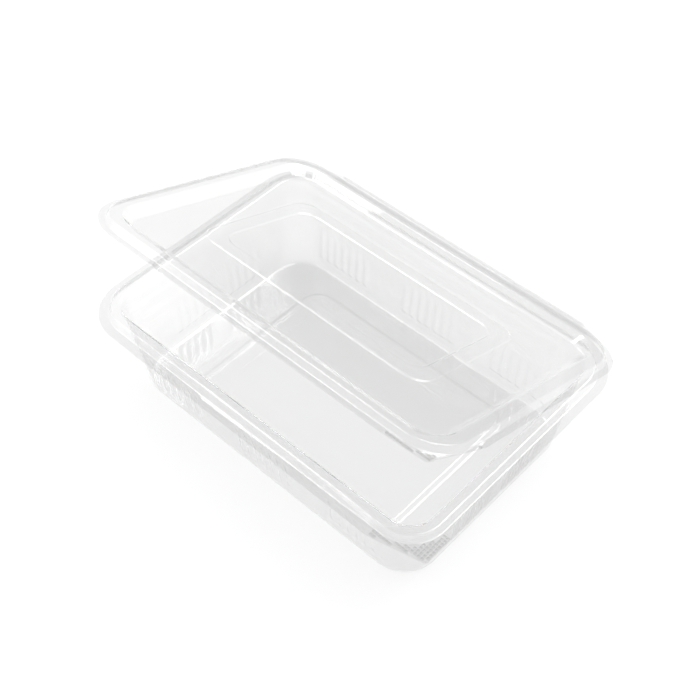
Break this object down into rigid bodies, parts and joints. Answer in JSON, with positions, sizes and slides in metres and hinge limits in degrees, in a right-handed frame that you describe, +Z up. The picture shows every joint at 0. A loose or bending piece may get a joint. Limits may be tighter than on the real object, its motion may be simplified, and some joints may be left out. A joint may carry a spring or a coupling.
{
  "type": "takeaway meal container",
  "caption": "clear one-piece hinged takeaway container with a deep rectangular tray, fluted walls, a raised sealing rim, corner finger tabs and a framed shallow lid, held partly open and empty",
  "frame": {"origin": "on the ground plane, under the middle of the whole container's bounding box with the lid held open at its rest angle", "axes": "+X runs along the long side to the right, +Y goes from the opening at the front to the hinge at the back, +Z is up"},
  "size_m": [0.19, 0.1392, 0.0969],
  "materials": {
    "tray": "clear glossy thermoformed plastic sheet, colourless",
    "lid": "clear glossy thermoformed plastic sheet, colourless"
  },
  "bodies": {
    "base": {"tray": "tray"},
    "cover": {"lid": "lid"}
  },
  "joints": [
    {"name": "lid_fold", "type": "hinge", "parent": "base", "child": "cover", "pos_m": [0, 0.06941, 0.044], "axis": [-1, 0, 0], "range_deg": [-21.15, 158.85]}
  ]
}
